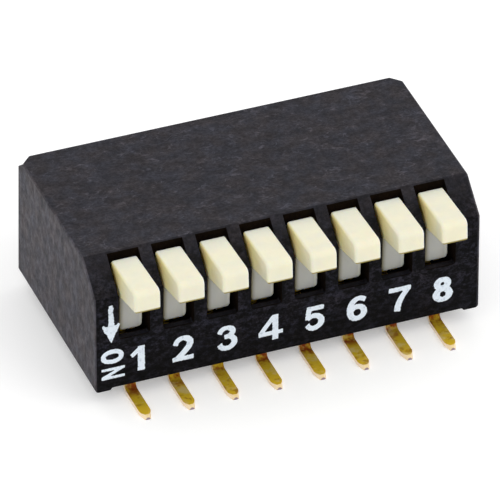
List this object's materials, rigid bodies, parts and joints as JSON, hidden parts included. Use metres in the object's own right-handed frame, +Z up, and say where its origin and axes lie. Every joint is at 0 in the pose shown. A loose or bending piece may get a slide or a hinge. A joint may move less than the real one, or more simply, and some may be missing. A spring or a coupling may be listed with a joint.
{
  "type": "dip switch",
  "caption": "Side-actuated DIP switch: black moulded cover with a bevelled front, a row of cream rocker levers in slots, and gull-wing solder feet along both long sides.",
  "frame": {"origin": "on the board plane under the middle of the cover: the undersides of the feet are at z = 0", "axes": "+X along the row from position 1 to position 8, -Y towards the rocker side, +Z up from the board"},
  "size_m": [0.0224, 0.016, 0.0086],
  "materials": {
    "cover_plastic": "charcoal-black moulded thermoplastic with a fine dull grain",
    "base_plastic": "black moulded thermoplastic",
    "rocker_plastic": "cream moulded nylon, satin",
    "contact_plating": "gold-plated spring alloy",
    "terminal_plating": "gold-plated stamped alloy"
  },
  "bodies": {
    "housing": {"cover": "cover_plastic", "base": "base_plastic", "front_terminal_1": "terminal_plating", "front_terminal_2": "terminal_plating", "front_terminal_3": "terminal_plating", "front_terminal_4": "terminal_plating", "front_terminal_5": "terminal_plating", "front_terminal_6": "terminal_plating", "front_terminal_7": "terminal_plating", "front_terminal_8": "terminal_plating", "rear_terminal_1": "terminal_plating", "rear_terminal_2": "terminal_plating", "rear_terminal_3": "terminal_plating", "rear_terminal_4": "terminal_plating", "rear_terminal_5": "terminal_plating", "rear_terminal_6": "terminal_plating", "rear_terminal_7": "terminal_plating", "rear_terminal_8": "terminal_plating"},
    "rocker_1_body": {"rocker_1": "rocker_plastic", "contact_1": "contact_plating"},
    "rocker_2_body": {"rocker_2": "rocker_plastic", "contact_2": "contact_plating"},
    "rocker_3_body": {"rocker_3": "rocker_plastic", "contact_3": "contact_plating"},
    "rocker_4_body": {"rocker_4": "rocker_plastic", "contact_4": "contact_plating"},
    "rocker_5_body": {"rocker_5": "rocker_plastic", "contact_5": "contact_plating"},
    "rocker_6_body": {"rocker_6": "rocker_plastic", "contact_6": "contact_plating"},
    "rocker_7_body": {"rocker_7": "rocker_plastic", "contact_7": "contact_plating"},
    "rocker_8_body": {"rocker_8": "rocker_plastic", "contact_8": "contact_plating"}
  },
  "joints": [
    {"name": "rocker_1_tilt", "type": "hinge", "parent": "housing", "child": "rocker_1_body", "pos_m": [-0.00889, -0.0025, 0.0053], "axis": [1, 0, 0], "range_deg": [0, 26]},
    {"name": "rocker_2_tilt", "type": "hinge", "parent": "housing", "child": "rocker_2_body", "pos_m": [-0.00635, -0.0025, 0.0053], "axis": [1, 0, 0], "range_deg": [0, 26]},
    {"name": "rocker_3_tilt", "type": "hinge", "parent": "housing", "child": "rocker_3_body", "pos_m": [-0.00381, -0.0025, 0.0053], "axis": [1, 0, 0], "range_deg": [0, 26]},
    {"name": "rocker_4_tilt", "type": "hinge", "parent": "housing", "child": "rocker_4_body", "pos_m": [-0.00127, -0.0025, 0.0053], "axis": [1, 0, 0], "range_deg": [0, 26]},
    {"name": "rocker_5_tilt", "type": "hinge", "parent": "housing", "child": "rocker_5_body", "pos_m": [0.00127, -0.0025, 0.0053], "axis": [1, 0, 0], "range_deg": [0, 26]},
    {"name": "rocker_6_tilt", "type": "hinge", "parent": "housing", "child": "rocker_6_body", "pos_m": [0.00381, -0.0025, 0.0053], "axis": [1, 0, 0], "range_deg": [0, 26]},
    {"name": "rocker_7_tilt", "type": "hinge", "parent": "housing", "child": "rocker_7_body", "pos_m": [0.00635, -0.0025, 0.0053], "axis": [1, 0, 0], "range_deg": [0, 26]},
    {"name": "rocker_8_tilt", "type": "hinge", "parent": "housing", "child": "rocker_8_body", "pos_m": [0.00889, -0.0025, 0.0053], "axis": [1, 0, 0], "range_deg": [0, 26]}
  ]
}
